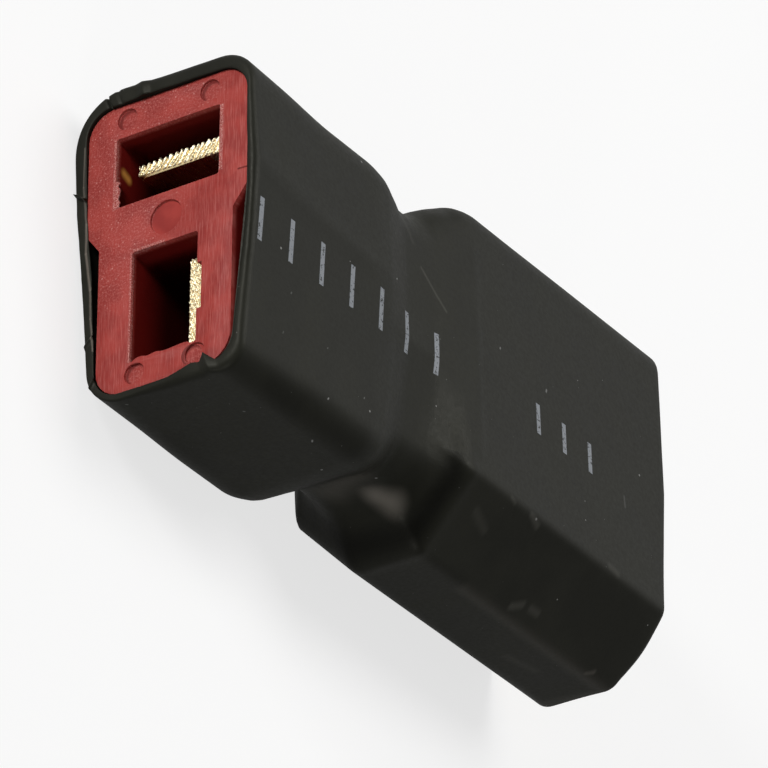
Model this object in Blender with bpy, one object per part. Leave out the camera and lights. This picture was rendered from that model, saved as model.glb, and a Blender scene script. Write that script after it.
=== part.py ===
# Battery connector adapter: a flat-blade two-way socket and a shrouded two-pin plug, soldered back to back
# and held together by one shrunk sleeve.
# Metres, +Z up. X runs from socket mouth to plug mouth, Y across the two poles, Z through the thickness.
# Each piece is drawn about the connector axis, with x counted from the socket's face, and then set in place.
import math

import bmesh
import bpy
import numpy as np

mm = 0.001

# Both housings
housing_thickness = 8.1 * mm
pole_pitch = 7.2 * mm
throat_length = 7.3 * mm

# Socket housing
socket_length = 10.4 * mm
socket_height = 13.9 * mm
socket_corner = 1.3 * mm
socket_foot_width = 6.76 * mm
socket_step_rise = 0.9 * mm
socket_step_above_axis = 1.1 * mm
socket_rear_wall = 1.5 * mm
slot_length = 5.25 * mm
slot_width = 3.36 * mm
slot_corner = 0.12 * mm
upper_slot_shift = 0.1 * mm
lower_slot_shift = 0.57 * mm
slot_lip_width = 0.22 * mm
slot_lip_depth = 0.7 * mm
lip_notch_length = 2.2 * mm
ejector_radius = 0.5 * mm
web_ejector_radius = 0.8 * mm
ejector_depth = 0.12 * mm
ejector_inset = 0.72 * mm
ejector_spread = 4.2 * mm
web_ejector_offset = 0.8 * mm

# Contacts and their springs
contact_width = 4.5 * mm
contact_thickness = 0.62 * mm
contact_recess = 1.3 * mm
contact_side_step = 0.56 * mm
contact_nose = 0.35 * mm
contact_corner = 0.12 * mm
tab_root_corner = 0.02 * mm
tab_width = 2.5 * mm
tab_in_cup = 2.9 * mm
tab_corner = 0.4 * mm
spring_width = 3.4 * mm
spring_thickness = 0.16 * mm
spring_inset = 1.0 * mm
spring_foot = 0.8 * mm

# Plug housing
plug_length = 15.7 * mm
plug_height = 15.9 * mm
plug_chamfer = 2.7 * mm
plug_corner = 0.8 * mm
plug_wall = 1.0 * mm
plug_cavity_depth = 9.4 * mm
plug_cavity_corner = 0.35 * mm

# Pins
pin_radius = 1.75 * mm
pin_nose_length = 0.9 * mm
pin_nose_flat = 0.45
pin_tip_recess = 0.8 * mm
pin_slit_width = 0.35 * mm
pin_slit_depth = 5.6 * mm
pin_waist_drop = 0.12 * mm
pin_collar_radius = 2.25 * mm
pin_collar_length = 1.0 * mm
cup_radius = 2.2 * mm
cup_wall = 0.42 * mm
cup_length = 4.4 * mm
cup_floor_depth = 0.6 * mm
cup_scoop_length = 2.0 * mm
cup_scoop_depth = 2.03 * mm
solder_cone_length = 0.9 * mm
solder_cone_start = 0.8

# Shrunk sleeve
sleeve_wall = 0.45 * mm
socket_lip = 0.3 * mm
plug_lip = 0.65 * mm
plug_cut_drop = 0.85 * mm
plug_cut_start = 1.0 * mm
rim_round = 0.35 * mm
foot_slack = 0.1 * mm
foot_wrap_corner = 0.9 * mm
socket_ramp_length = 3.2 * mm
plug_ramp_length = 3.6 * mm
ramp_softness = 0.5
throat_side_slack = 1.45 * mm
throat_roof_slack = 0.6 * mm
throat_crest_radius = 1.5 * mm
shoulder_run = 1.0 * mm

# Clearances
seat_gap = 0.05 * mm
slide_gap = 0.04 * mm
cut_over = 1.0 * mm

# Steps and samples of the curves
arc_steps = 7
corner_steps = 4
small_arc_steps = 3
round_steps = 32
hole_steps = 24
nose_steps = 5
spring_points = 25
ramp_rings = 6
rim_steps = 3
fill_steps = 18
outline_samples = 4000
least_angle = math.radians(1.2)

half_thickness = housing_thickness / 2
upper_slot_offset = pole_pitch / 2 + upper_slot_shift
lower_slot_offset = pole_pitch / 2 - lower_slot_shift
rear_face = socket_length
plug_rear = socket_length + throat_length
plug_face = plug_rear + plug_length
cup_mouth = plug_rear - cup_length
throat_start = rear_face + socket_ramp_length
throat_end = plug_rear - plug_ramp_length
sleeve_start = -socket_lip
sleeve_end = plug_face + plug_lip
sleeve_reach = seat_gap + sleeve_wall
axis_shift = (-(sleeve_start + sleeve_end) / 2, 0.0, half_thickness + sleeve_reach)


def clear_scene():
    for old in list(bpy.data.objects):
        bpy.data.objects.remove(old, do_unlink=True)


def make_material(name, colour, roughness, metallic=0.0):
    material = bpy.data.materials.new(name)
    material.use_nodes = True
    shader = material.node_tree.nodes["Principled BSDF"]
    shader.inputs["Base Color"].default_value = (*colour, 1.0)
    shader.inputs["Roughness"].default_value = roughness
    shader.inputs["Metallic"].default_value = metallic
    return material


def add_object(name, bm, material=None, is_cutter=False):
    """Sets a form drawn about the connector axis in place as a named object."""
    bmesh.ops.remove_doubles(bm, verts=bm.verts, dist=1e-8)
    bmesh.ops.recalc_face_normals(bm, faces=bm.faces)
    mesh = bpy.data.meshes.new(name)
    bm.to_mesh(mesh)
    bm.free()
    made = bpy.data.objects.new(name, mesh)
    made.location = axis_shift
    bpy.context.scene.collection.objects.link(made)
    if material:
        mesh.materials.append(material)
    if is_cutter:
        made.hide_render = True
        made.display_type = "WIRE"
    return made


def cut(target, name, form):
    cutter = add_object(name, form, is_cutter=True)
    modifier = target.modifiers.new(name, "BOOLEAN")
    modifier.operation = "DIFFERENCE"
    modifier.solver = "EXACT"
    modifier.object = cutter


def round_outline(corners, radii, steps=arc_steps):
    """Rounds each corner of an outline with an arc of its own radius, all in the same number of steps."""
    corners = np.asarray(corners, float)
    count = len(corners)
    points = []
    for index in range(count):
        corner = corners[index]
        to_last = corners[index - 1] - corner
        to_next = corners[(index + 1) % count] - corner
        last_length = np.linalg.norm(to_last)
        next_length = np.linalg.norm(to_next)
        to_last = to_last / last_length
        to_next = to_next / next_length
        half_angle = math.acos(np.clip(to_last @ to_next, -1, 1)) / 2
        reach = min(radii[index] / math.tan(half_angle), 0.49 * last_length, 0.49 * next_length)
        radius = reach * math.tan(half_angle)
        centre_way = to_last + to_next
        centre = corner + centre_way / np.linalg.norm(centre_way) * radius / math.sin(half_angle)
        first = corner + to_last * reach - centre
        last = corner + to_next * reach - centre
        turn = math.atan2(first[0] * last[1] - first[1] * last[0], first @ last)
        for step in range(steps + 1):
            angle = turn * step / steps
            cosine = math.cos(angle)
            sine = math.sin(angle)
            points.append(centre + (first[0] * cosine - first[1] * sine, first[0] * sine + first[1] * cosine))
    return np.array(points)


def grow(corners, distance):
    """Moves each side of an anticlockwise outline outwards by the same distance."""
    corners = np.asarray(corners, float)
    sides = np.roll(corners, -1, axis=0) - corners
    sides = sides / np.linalg.norm(sides, axis=1)[:, None]
    normals = np.stack([sides[:, 1], -sides[:, 0]], axis=1)
    before = np.roll(normals, 1, axis=0)
    share = 1 + (normals * before).sum(axis=1)
    return corners + distance * (normals + before) / share[:, None]


def mirrored(right_side):
    """Closes the (z, y) corners of the +Z side, listed from top to bottom, with their mirror."""
    left_side = [(-z, y) for z, y in reversed(right_side)]
    return [(y, z) for z, y in right_side + left_side]


def box_corners(y, z, y_size, z_size):
    ways = [(0.5, -0.5), (0.5, 0.5), (-0.5, 0.5), (-0.5, -0.5)]
    return [(y + way_y * y_size, z + way_z * z_size) for way_y, way_z in ways]


def extruded(points, way):
    """Draws a flat face through the points and extrudes it by a vector."""
    bm = bmesh.new()
    face = bm.faces.new([bm.verts.new(point) for point in points])
    raised = bmesh.ops.extrude_face_region(bm, geom=[face])
    moved = [item for item in raised["geom"] if isinstance(item, bmesh.types.BMVert)]
    bmesh.ops.translate(bm, verts=moved, vec=way)
    return bm


def prism(outline, start, end):
    """Extrudes an outline of (y, z) points along X."""
    return extruded([(start, y, z) for y, z in outline], (end - start, 0, 0))


def turned(profile, y=0.0, steps=round_steps):
    """Turns a profile of (x, radius) points about a line along X at the height y."""
    bm = bmesh.new()
    rings = [bm.verts.new((x, 0.0, radius)) for x, radius in profile]
    edges = [bm.edges.new(pair) for pair in zip(rings, rings[1:])]
    bmesh.ops.spin(bm, geom=edges, cent=(0, 0, 0), axis=(1, 0, 0), angle=math.tau, steps=steps, use_merge=True)
    bmesh.ops.translate(bm, verts=bm.verts, vec=(0, y, 0))
    return bm


def loft(rings):
    """Joins rings of equally many points with quads and closes the band on itself."""
    bm = bmesh.new()
    made = [[bm.verts.new(point) for point in points] for points in rings]
    for here, there in zip(made, made[1:] + made[:1]):
        count = len(here)
        for index in range(count):
            after = (index + 1) % count
            bm.faces.new((here[index], here[after], there[after], there[index]))
    return bm


def smooth_rounds(made, angle=30.0):
    made.data.shade_smooth()
    made.data.set_sharp_from_angle(angle=math.radians(angle))


# The socket's outline: a wide head over a narrower foot, with a sloping step on each side
def socket_outline():
    top = socket_height / 2
    foot = socket_foot_width / 2
    step_foot = socket_step_above_axis - socket_step_rise
    right = [(half_thickness, top), (half_thickness, socket_step_above_axis), (foot, step_foot), (foot, -top)]
    radii = [socket_corner, slot_corner, slot_corner, socket_corner]
    return mirrored(right), radii + radii[::-1]


# What the sleeve follows round the socket: it bridges the steps
def socket_wrap():
    top = socket_height / 2
    foot = socket_foot_width / 2 + foot_slack
    right = [(half_thickness, top), (half_thickness, socket_step_above_axis), (foot, -top)]
    radii = [socket_corner, socket_corner, foot_wrap_corner]
    return mirrored(right), radii + radii[::-1]


# The plug's outline: two square corners at the top and two chamfers at the bottom
def plug_outline():
    top = plug_height / 2
    foot = half_thickness - plug_chamfer
    corners = mirrored([(half_thickness, top), (half_thickness, plug_chamfer - top), (foot, -top)])
    return corners, [plug_corner] * len(corners)


# What the sleeve follows at its narrowest: the two solder cups
def throat_wrap():
    side = cup_radius + throat_side_slack
    crest = pole_pitch / 2 + cup_radius + throat_roof_slack
    base = -(pole_pitch / 2 + cup_radius)
    right = [(side, crest), (side, 0.0), (cup_radius, base)]
    radii = [throat_crest_radius, cup_radius, cup_radius]
    return mirrored(right), radii + radii[::-1]


def slot_boxes():
    """Corners of the two slots: the upper one lies across Z, the lower one stands along Y."""
    upper = box_corners(upper_slot_offset, 0.0, slot_width, slot_length)
    lower = box_corners(-lower_slot_offset, 0.0, slot_length, slot_width)
    return {"upper": upper, "lower": lower}


def contact_place(side):
    """Centre (y, z) of a contact blade: each is set off its slot's centre, with its spring behind it."""
    if side == "upper":
        return upper_slot_offset + contact_side_step, 0.0
    return -lower_slot_offset, contact_side_step


def pole_height(side):
    return pole_pitch / 2 if side == "upper" else -pole_pitch / 2


def tab_hole(side):
    """Corners of the hole that a contact's tab passes through, in line with its solder cup."""
    y, z = contact_place(side)
    across = tab_width + 2 * slide_gap
    through = contact_thickness + 2 * slide_gap
    if side == "upper":
        return box_corners(y, z, through, across)
    return box_corners(pole_height(side), z, across, through)


def make_socket_housing(material):
    corners, radii = socket_outline()
    housing = add_object("socket_housing", prism(round_outline(corners, radii), 0.0, socket_length), material)
    floor = socket_length - socket_rear_wall
    for side, corners in slot_boxes().items():
        slot = round_outline(corners, [slot_corner] * len(corners), small_arc_steps)
        start = -cut_over if side == "upper" else slot_lip_depth
        cut(housing, f"{side}_slot_cutter", prism(slot, start, floor))
        slit = prism(tab_hole(side), floor - cut_over, socket_length + cut_over)
        cut(housing, f"{side}_slit_cutter", slit)
    # A lip narrows the lower slot's mouth on the side of its contact, and a notch opens the lip's middle
    width = slot_width - slot_lip_width
    mouth = box_corners(-lower_slot_offset, -slot_lip_width / 2, slot_length, width)
    mouth = round_outline(mouth, [slot_corner] * len(mouth), small_arc_steps)
    cut(housing, "lower_mouth_cutter", prism(mouth, -cut_over, floor - cut_over))
    notch = box_corners(-lower_slot_offset, slot_width / 4, lip_notch_length, slot_width / 2)
    cut(housing, "lip_notch_cutter", prism(notch, -cut_over, floor - cut_over))
    top = socket_height / 2 - ejector_inset
    foot_spread = ejector_spread - (housing_thickness - socket_foot_width)
    marks = [(top, ejector_spread, 1, ejector_radius), (top, ejector_spread, -1, ejector_radius)]
    marks += [(-top, foot_spread, 1, ejector_radius), (-top, foot_spread, -1, ejector_radius)]
    marks += [(web_ejector_offset, 0.0, 1, web_ejector_radius)]
    for number, (y, spread, way, radius) in enumerate(marks):
        profile = [(-cut_over, 0.0), (-cut_over, radius), (ejector_depth, radius), (ejector_depth, 0.0)]
        disc = turned(profile, y, hole_steps)
        bmesh.ops.translate(disc, verts=disc.verts, vec=(0, 0, way * spread / 2))
        cut(housing, f"ejector_cutter_{number}", disc)
    return housing


def make_contact(side, material):
    """A flat blade with a chamfered nose that narrows, past its shoulders, to a solder tab."""
    half = contact_width / 2
    middle = 0.0 if side == "upper" else -lower_slot_shift
    shoulder = socket_length - socket_rear_wall - slide_gap
    tab_low = middle - tab_width / 2
    tab_high = middle + tab_width / 2
    tab_end = cup_mouth + tab_in_cup
    plan = [
        (contact_recess, -half),
        (shoulder, -half),
        (shoulder, tab_low),
        (tab_end, tab_low),
        (tab_end, tab_high),
        (shoulder, tab_high),
        (shoulder, half),
        (contact_recess, half),
    ]
    radii = [contact_nose, contact_corner, tab_root_corner, tab_corner]
    plan = round_outline(plan, radii + radii[::-1], small_arc_steps)
    y, z = contact_place(side)
    blade = extruded([(x, across, -contact_thickness / 2) for x, across in plan], (0, 0, contact_thickness))
    contact = add_object(f"{side}_contact", blade, material)
    contact.location = (axis_shift[0], axis_shift[1] + y, axis_shift[2] + z)
    if side == "upper":
        contact.rotation_euler.x = math.pi / 2
    return contact


def make_spring(side, material):
    """A bowed strip between a contact and its slot's wall: two flat feet and an arch towards the contact."""
    start = contact_recess + spring_inset
    end = socket_length - socket_rear_wall - seat_gap
    room = slot_width / 2 - contact_side_step - contact_thickness / 2 - 2 * seat_gap
    rise = room - spring_thickness
    along = np.linspace(start, end, spring_points)
    foot_share = spring_foot / (end - start)
    share = np.clip(((along - start) / (end - start) - foot_share) / (1 - 2 * foot_share), 0, 1)
    height = -rise * (1 - np.cos(math.tau * share)) / 2
    slope = np.gradient(height, along)
    length = np.sqrt(1 + slope**2)
    offset = np.stack([-slope, np.ones_like(slope)], axis=1) / length[:, None] * spring_thickness / 2
    centre = np.stack([along, height], axis=1)
    outline = np.concatenate([centre + offset, (centre - offset)[::-1]])
    strip = extruded([(x, -spring_width / 2, z) for x, z in outline], (0, spring_width, 0))
    spring = add_object(f"{side}_spring", strip, material)
    seat = slot_width / 2 - seat_gap - spring_thickness / 2
    if side == "upper":
        spring.location = (axis_shift[0], upper_slot_offset + seat, axis_shift[2])
        spring.rotation_euler.x = -math.pi / 2
    else:
        spring.location = (axis_shift[0], -lower_slot_offset, axis_shift[2] + seat)
    return spring


def make_plug_housing(material):
    corners, radii = plug_outline()
    solid = prism(round_outline(corners, radii, corner_steps), plug_rear, plug_face)
    housing = add_object("plug_housing", solid, material)
    inner_radii = [plug_cavity_corner] * len(corners)
    cavity = round_outline(grow(corners, -plug_wall), inner_radii, corner_steps)
    floor = plug_face - plug_cavity_depth
    cut(housing, "cavity_cutter", prism(cavity, floor, plug_face + cut_over))
    for side in ("upper", "lower"):
        profile = [
            (plug_rear - cut_over, 0.0),
            (plug_rear - cut_over, cup_radius + slide_gap),
            (floor - pin_collar_length, cup_radius + slide_gap),
            (floor - pin_collar_length, pin_collar_radius + slide_gap),
            (floor + cut_over, pin_collar_radius + slide_gap),
            (floor + cut_over, 0.0),
        ]
        cut(housing, f"{side}_bore_cutter", turned(profile, pole_height(side)))
    return housing


def make_pin(side, material):
    """A split bullet pin on a collar, with a shank through the housing and an open solder cup behind."""
    floor = plug_face - plug_cavity_depth
    tip = plug_face - pin_tip_recess
    nose_start = tip - pin_nose_length
    waist = pin_radius - pin_waist_drop
    slit_start = tip - pin_slit_depth
    inner = cup_radius - cup_wall
    cup_floor = plug_rear - cup_floor_depth
    profile = [(cup_floor, 0.0), (cup_floor, inner), (cup_mouth, inner), (cup_mouth, cup_radius)]
    profile += [(floor - pin_collar_length, cup_radius), (floor - pin_collar_length, pin_collar_radius)]
    profile += [(floor, pin_collar_radius), (floor, waist), (slit_start, waist)]
    nose_radius = pin_radius - pin_waist_drop / 2
    profile += [((slit_start + nose_start) / 2, pin_radius), (nose_start, nose_radius)]
    flat_radius = pin_radius * pin_nose_flat
    for step in range(1, nose_steps + 1):
        angle = math.pi / 2 * step / nose_steps
        radius = flat_radius + (nose_radius - flat_radius) * math.cos(angle)
        profile.append((nose_start + pin_nose_length * math.sin(angle), radius))
    profile.append((tip, 0.0))
    y = pole_height(side)
    pin = add_object(f"{side}_pin", turned(profile, y), material)
    slit_reach = 2 * (pin_radius + cut_over)
    for way, sizes in {"flat": (slit_reach, pin_slit_width), "upright": (pin_slit_width, slit_reach)}.items():
        slit = prism(box_corners(y, 0.0, *sizes), slit_start, tip + cut_over)
        cut(pin, f"{side}_{way}_slit_cutter", slit)
    scoop = box_corners(y, cup_radius, 2 * (cup_radius + cut_over), 2 * cup_scoop_depth)
    cut(pin, f"{side}_scoop_cutter", prism(scoop, cup_mouth - cut_over, cup_mouth + cup_scoop_length))
    smooth_rounds(pin)
    return pin


def make_solder_joint(side, material):
    """Solder that fills a cup and climbs in a cone along the tab that stands in it."""
    radius = cup_radius - cup_wall - slide_gap
    start = cup_mouth - solder_cone_length
    end = plug_rear - cup_floor_depth - slide_gap
    profile = [(start, 0.0), (start, radius * solder_cone_start), (cup_mouth, radius)]
    profile += [(end, radius), (end, 0.0)]
    joint = add_object(f"{side}_solder_joint", turned(profile, pole_height(side), hole_steps), material)
    tab = prism(tab_hole(side), start - cut_over, cup_mouth + tab_in_cup + slide_gap)
    cut(joint, f"{side}_tab_cutter", tab)
    smooth_rounds(joint)
    return joint


def blend_curve(share):
    """Rises from 0 to 1, part straight ramp and part S-shaped curve, so that it bends briefly at both ends."""
    curve = share * share * (3 - 2 * share)
    return share + ramp_softness * (curve - share)


def reach_at(outline, angles):
    """Distance of an outline from the connector axis along each angle, read from close points on it."""
    closed = np.vstack([outline, outline[:1]])
    lengths = np.concatenate([[0.0], np.cumsum(np.linalg.norm(np.diff(closed, axis=0), axis=1))])
    spaced = np.linspace(0.0, lengths[-1], outline_samples)[:-1]
    y = np.interp(spaced, lengths, closed[:, 0])
    z = np.interp(spaced, lengths, closed[:, 1])
    return np.interp(angles, np.arctan2(z, y), np.hypot(y, z), period=math.tau)


def sleeve_angles():
    """Angles of the sleeve's points: on every corner of both housings and, between them, evenly spaced."""
    half_turn = [0.0, math.pi]
    for corners, radii in (plug_outline(), socket_wrap()):
        wanted = round_outline(grow(corners, sleeve_reach), np.add(radii, sleeve_reach), corner_steps)
        half_turn += [angle for angle in np.arctan2(wanted[:, 1], wanted[:, 0]) if 0.0 < angle < math.pi]
    half_turn += list(np.linspace(0.0, math.pi, fill_steps, endpoint=False))
    kept = []
    for angle in sorted(half_turn):
        if not kept or angle - kept[-1] > least_angle:
            kept.append(angle)
    kept[-1] = math.pi
    kept = np.array(kept)
    return np.concatenate([kept, math.tau - kept[-2:0:-1]])


def wrap_reach(wrap, distance, angles):
    """Reach from the axis, along each angle, of an outline grown by a distance."""
    corners, radii = wrap
    return reach_at(round_outline(grow(corners, distance), np.add(radii, distance)), angles)


def ring(x, reach, angles):
    """One ring of points; x is one value, or one for each point."""
    return np.stack([x + np.zeros_like(angles), reach * np.cos(angles), reach * np.sin(angles)], axis=1)


def sleeve_rings(distance, angles):
    """Rings of the sleeve, up to its last flat stretch, at one distance outside the pieces that it wraps.

    Between the socket's rear face, the throat and the plug's rear face, each point's reach from the axis runs
    from one section to the next.
    """
    socket = wrap_reach(socket_wrap(), distance, angles)
    throat = wrap_reach(throat_wrap(), distance, angles)
    plug = wrap_reach(plug_outline(), distance, angles)
    places = [sleeve_start, rear_face / 2, rear_face]
    places += list(np.linspace(rear_face, throat_start, ramp_rings)[1:])
    places += list(np.linspace(throat_end, plug_rear, ramp_rings))
    places += [plug_rear + shoulder_run]
    rings = []
    for x in places:
        to_throat = blend_curve(np.clip((x - rear_face) / (throat_start - rear_face), 0, 1))
        to_plug = blend_curve(np.clip((x - throat_end) / (plug_rear - throat_end), 0, 1))
        reach = socket * (1 - to_throat) + throat * to_throat
        reach = reach * (1 - to_plug) + plug * to_plug
        rings.append(ring(x, reach, angles))
    return rings


def rim_ring(distance, setback, angles):
    """A ring at the sleeve's far end, whose cut leans back towards the plug's foot."""
    reach = wrap_reach(plug_outline(), distance, angles)
    below = (plug_cut_start - reach * np.cos(angles)) / (plug_cut_start + plug_height / 2)
    return ring(sleeve_end - setback - plug_cut_drop * np.clip(below, 0, 1), reach, angles)


def make_sleeve(material):
    angles = sleeve_angles()
    outer = sleeve_rings(sleeve_reach, angles)
    for turn in np.linspace(0, math.pi / 2, rim_steps + 1):
        inset = rim_round * (1 - math.cos(turn))
        outer.append(rim_ring(sleeve_reach - inset, rim_round * (1 - math.sin(turn)), angles))
    inner = sleeve_rings(seat_gap, angles) + [rim_ring(seat_gap, 0.0, angles)]
    sleeve = add_object("heat_shrink_sleeve", loft(outer + inner[::-1]), material)
    smooth_rounds(sleeve, 35.0)
    return sleeve


def main():
    clear_scene()
    sleeve_black = make_material("sleeve_black", (0.012, 0.012, 0.011), 0.5)
    socket_red = make_material("socket_red", (0.42, 0.045, 0.04), 0.55)
    plug_yellow = make_material("plug_yellow", (0.85, 0.52, 0.03), 0.5)
    gold_plate = make_material("gold_plate", (0.95, 0.66, 0.28), 0.25, 1.0)
    spring_steel = make_material("spring_steel", (0.55, 0.55, 0.54), 0.3, 1.0)
    solder_grey = make_material("solder_grey", (0.62, 0.63, 0.65), 0.35, 1.0)
    make_socket_housing(socket_red)
    make_plug_housing(plug_yellow)
    for side in ("upper", "lower"):
        make_contact(side, gold_plate)
        make_spring(side, spring_steel)
        make_pin(side, gold_plate)
        make_solder_joint(side, solder_grey)
    make_sleeve(sleeve_black)


main()
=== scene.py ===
# Battery connector adapter: a finish for every surface, the shrunk sleeve as a fine mesh, and a small studio.
# Lengths are in millimetres about the connector axis: x from the socket's face, y towards the wide head and
# z through the thickness. place() turns them into the frame's metres.
import math

import bmesh
import bpy
import numpy as np
from mathutils import Matrix, Vector


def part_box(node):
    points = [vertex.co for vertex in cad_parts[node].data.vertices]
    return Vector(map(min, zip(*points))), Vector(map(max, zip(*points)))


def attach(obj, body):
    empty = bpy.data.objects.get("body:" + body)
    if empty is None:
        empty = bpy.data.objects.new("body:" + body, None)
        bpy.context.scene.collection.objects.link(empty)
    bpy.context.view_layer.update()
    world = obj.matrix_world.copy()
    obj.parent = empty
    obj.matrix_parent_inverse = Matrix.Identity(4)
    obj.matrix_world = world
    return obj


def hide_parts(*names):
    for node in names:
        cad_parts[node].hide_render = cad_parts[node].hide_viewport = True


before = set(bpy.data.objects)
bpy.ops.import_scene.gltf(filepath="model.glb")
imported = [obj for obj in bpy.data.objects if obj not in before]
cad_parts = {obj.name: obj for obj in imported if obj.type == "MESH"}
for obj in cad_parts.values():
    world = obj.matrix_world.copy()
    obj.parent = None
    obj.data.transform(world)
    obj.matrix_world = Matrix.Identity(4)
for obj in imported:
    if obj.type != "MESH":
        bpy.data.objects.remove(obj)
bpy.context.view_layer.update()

mm = 0.001
socketLow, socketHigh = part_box("socket_housing")
plugLow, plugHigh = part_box("plug_housing")
origin = Vector((socketLow.x, 0.0, (socketLow.z + socketHigh.z) / 2))
socketDepth = (socketHigh.x - socketLow.x) / mm
plugRear = (plugLow.x - socketLow.x) / mm
plugFace = (plugHigh.x - socketLow.x) / mm
print("frame loaded:", len(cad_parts), "nodes")


# Millimetres about the connector axis, as an array of points, to metres in the frame
def place(points):
    return np.asarray(points, float) * mm + np.array(origin)


# The socket leans in the sleeve as the photo shows it, with its foot shifted against its head. The shift
# dies out between the two housings, and the contacts, solder and pin cups there follow it.
lean = {"rate": 0.045, "about": 1.7}
# The lower slot is a little wider on the +Z side than in the solids: the shift there, and where it starts,
# is full and ends
wideSlot = {"shift": 0.18, "from": -0.1, "full": 0.25, "until": 2.6}


def leaned(points):
    y, z = points[:, 1], points[:, 2]
    share = np.clip((plugRear - points[:, 0]) / (plugRear - socketDepth), 0, 1)
    beside = np.clip((z - wideSlot["from"]) / (wideSlot["full"] - wideSlot["from"]), 0, 1)
    widened = wideSlot["shift"] * beside * (z < wideSlot["until"]) * (y < 0)
    shifted = np.array(points)
    shifted[:, 2] += share * (lean["rate"] * (y - lean["about"]) + widened)
    return shifted


# Shapes

# An object with this mesh, riding on the part's root
def newPiece(name, mesh, material):
    mesh.materials.append(material)
    mesh.shade_smooth()
    piece = bpy.data.objects.new(name, mesh)
    bpy.context.scene.collection.objects.link(piece)
    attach(piece, "root")
    return piece


def meshPiece(name, points, faces, material):
    mesh = bpy.data.meshes.new(name)
    mesh.from_pydata(points, [], faces)
    mesh.validate()
    return newPiece(name, mesh, material)


# Faces of a grid of rows by columns. Columns close on themselves, and so do the rows where asked.
def gridFaces(rows, columns, closeRows=False, closeColumns=True):
    row = np.arange(rows if closeRows else rows - 1)[:, None]
    column = np.arange(columns if closeColumns else columns - 1)[None, :]
    nextRow = (row + 1) % rows
    nextColumn = (column + 1) % columns
    corners = [row * columns + column, row * columns + nextColumn]
    corners += [nextRow * columns + nextColumn, nextRow * columns + column]
    return np.stack([corner.ravel() for corner in corners], axis=1)


# Sum of a few sine waves with seeded directions and phases: a soft random height from -1 to 1 over (u, v)
def softWaves(u, v, seed, count=7, spread=1.0):
    random = np.random.default_rng(seed)
    turn = random.uniform(0, math.tau, (3, count))
    rate = random.uniform(0.5, 1.5, count) * spread
    total = 0
    for i in range(count):
        total = total + np.sin(rate[i] * (u * math.cos(turn[0, i]) + v * math.sin(turn[0, i])) + turn[1, i])
    return total / count


# Outline of straight sides and round corners: each corner (y, z, radius) becomes an arc between its two sides
def roundOutline(corners, steps=24):
    points = np.array([corner[:2] for corner in corners])
    radii = np.array([corner[2] for corner in corners])
    before = np.roll(points, 1, axis=0) - points
    after = np.roll(points, -1, axis=0) - points
    beforeLength = np.linalg.norm(before, axis=1)
    afterLength = np.linalg.norm(after, axis=1)
    before /= beforeLength[:, None]
    after /= afterLength[:, None]
    half = np.arccos((before * after).sum(axis=1)) / 2
    reach = np.minimum(radii / np.tan(half), 0.49 * np.minimum(beforeLength, afterLength))
    radii = reach * np.tan(half)
    middle = before + after
    centre = points + middle / np.linalg.norm(middle, axis=1)[:, None] * (radii / np.sin(half))[:, None]
    first = points + before * reach[:, None] - centre
    last = points + after * reach[:, None] - centre
    share = np.linspace(0, 1, steps)[None, :, None]
    sweep = (math.pi - 2 * half)[:, None, None]
    arcs = first[:, None] * np.sin((1 - share) * sweep) + last[:, None] * np.sin(share * sweep)
    return (centre[:, None] + arcs / np.sin(sweep)).reshape(-1, 2)


# Distance of a closed outline from the axis along each angle
def reachAlong(outline, angles, steps=6000):
    closed = np.vstack([outline, outline[:1]])
    length = np.concatenate([[0], np.cumsum(np.linalg.norm(np.diff(closed, axis=0), axis=1))])
    even = np.linspace(0, length[-1], steps)[:-1]
    y = np.interp(even, length, closed[:, 0])
    z = np.interp(even, length, closed[:, 1])
    return np.interp(angles, np.arctan2(z, y), np.hypot(y, z), period=math.tau)


# A smooth curve through stations along x, one for each column, that never overshoots them:
# the slope at a station is the harmonic mean of the slopes on its two sides
def throughStations(stations, values, x):
    widths = np.diff(stations)[:, None]
    slopes = np.diff(values, axis=0) / widths
    product = slopes[:-1] * slopes[1:]
    total = np.where(product > 0, slopes[:-1] + slopes[1:], 1)
    tangents = np.vstack([slopes[:1], np.where(product > 0, 2 * product / total, 0), slopes[-1:]])
    index = np.clip(np.searchsorted(stations, x) - 1, 0, len(stations) - 2)
    column = np.broadcast_to(np.arange(values.shape[1]), x.shape)
    width = widths[index, 0]
    t = np.clip((x - stations[index]) / width, 0, 1)
    low = values[index, column] * (2 * t**3 - 3 * t**2 + 1)
    high = values[index + 1, column] * (3 * t**2 - 2 * t**3)
    bend = tangents[index, column] * (t**3 - 2 * t**2 + t) + tangents[index + 1, column] * (t**3 - t**2)
    return low + high + bend * width


# The sleeve's outside at four places: corners (y, z, radius) at the top, at the knee where a side leans in
# and at the foot, on the +Z side and then on the -Z side
sleeveSections = {
    "mouth": (
        [(7.74, 4.54, 1.6), (2.3, 4.54, 5.0), (-7.42, 3.46, 1.3)],
        [(7.74, -4.52, 2.9), (2.3, -4.55, 5.0), (-7.24, -4.14, 1.8)],
    ),
    "socket": (
        [(7.44, 4.5, 1.75), (1.6, 4.5, 5.0), (-7.5, 3.72, 1.5)],
        [(7.44, -4.53, 1.9), (1.6, -4.53, 5.0), (-7.42, -4.12, 1.6)],
    ),
    "throat": (
        [(6.74, 4.14, 2.0), (-0.6, 4.14, 2.9), (-6.6, 3.2, 1.9)],
        [(6.74, -3.9, 2.0), (0.0, -3.9, 2.9), (-6.02, -2.7, 2.5)],
    ),
    "plug": (
        [(8.44, 4.54, 1.15), (-5.28, 4.54, 0.6), (-8.42, 1.68, 0.8)],
        [(8.44, -4.54, 1.15), (-5.28, -4.54, 0.6), (-8.42, -1.68, 0.8)],
    ),
}

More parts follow.
